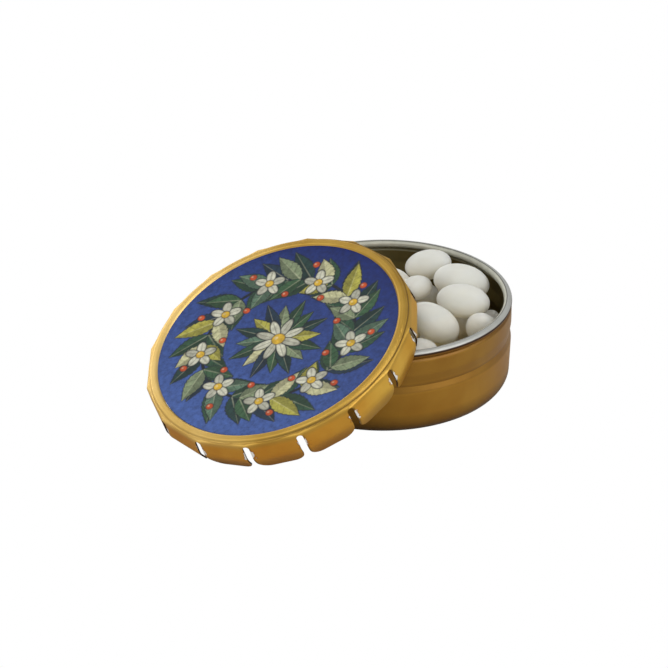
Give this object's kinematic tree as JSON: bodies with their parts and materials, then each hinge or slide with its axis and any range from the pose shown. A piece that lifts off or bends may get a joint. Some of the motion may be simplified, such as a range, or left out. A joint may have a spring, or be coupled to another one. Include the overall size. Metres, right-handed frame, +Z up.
{
  "type": "mint tin",
  "caption": "Round click tin for mints, open: a drawn cup with a rolled rim holds sugar-coated mints, and the slip lid with a ring of spring tabs and a clicking panel leans on it.",
  "frame": {"origin": "middle of the flat face that the cup stands on", "axes": "+Z up along the cup's axis, -X towards the lid that leans on the rim"},
  "size_m": [0.0658, 0.0462, 0.0246],
  "materials": {
    "gold_lacquer": "satin gold lacquer outside, bare bright tinplate inside and on the rolled rim",
    "blue_print": "printed deep blue design under a clear varnish",
    "sugar_shell": "smooth hard-panned sugar, a soft sheen"
  },
  "bodies": {
    "tin": {"tin_base": "gold_lacquer", "mint_01": "sugar_shell", "mint_02": "sugar_shell", "mint_03": "sugar_shell", "mint_04": "sugar_shell", "mint_05": "sugar_shell", "mint_06": "sugar_shell", "mint_07": "sugar_shell", "mint_08": "sugar_shell", "mint_09": "sugar_shell", "mint_10": "sugar_shell", "mint_11": "sugar_shell", "mint_12": "sugar_shell", "mint_13": "sugar_shell", "mint_14": "sugar_shell", "mint_15": "sugar_shell", "mint_16": "sugar_shell", "mint_17": "sugar_shell", "mint_18": "sugar_shell"},
    "lid": {"lid_shell": "gold_lacquer"},
    "panel": {"click_panel": "blue_print"},
    "mint_19": {"mint_19": "sugar_shell"},
    "mint_20": {"mint_20": "sugar_shell"},
    "mint_21": {"mint_21": "sugar_shell"},
    "mint_22": {"mint_22": "sugar_shell"},
    "mint_23": {"mint_23": "sugar_shell"}
  },
  "joints": [
    {"name": "lid_lift", "type": "slide", "parent": "tin", "child": "lid", "axis": [-0.4187, 0, 0.9081], "range_m": [0, 0.05]},
    {"name": "panel_click", "type": "slide", "parent": "lid", "child": "panel", "axis": [-0.4187, 0, 0.9081], "range_m": [0, 0.0005]},
    {"name": "mint_19_lift", "type": "slide", "parent": "tin", "child": "mint_19", "axis": [0, 0, 1], "range_m": [0, 0.03]},
    {"name": "mint_20_lift", "type": "slide", "parent": "tin", "child": "mint_20", "axis": [0, 0, 1], "range_m": [0, 0.03]},
    {"name": "mint_21_lift", "type": "slide", "parent": "tin", "child": "mint_21", "axis": [0, 0, 1], "range_m": [0, 0.03]},
    {"name": "mint_22_lift", "type": "slide", "parent": "tin", "child": "mint_22", "axis": [0, 0, 1], "range_m": [0, 0.03]},
    {"name": "mint_23_lift", "type": "slide", "parent": "tin", "child": "mint_23", "axis": [0, 0, 1], "range_m": [0, 0.03]}
  ]
}
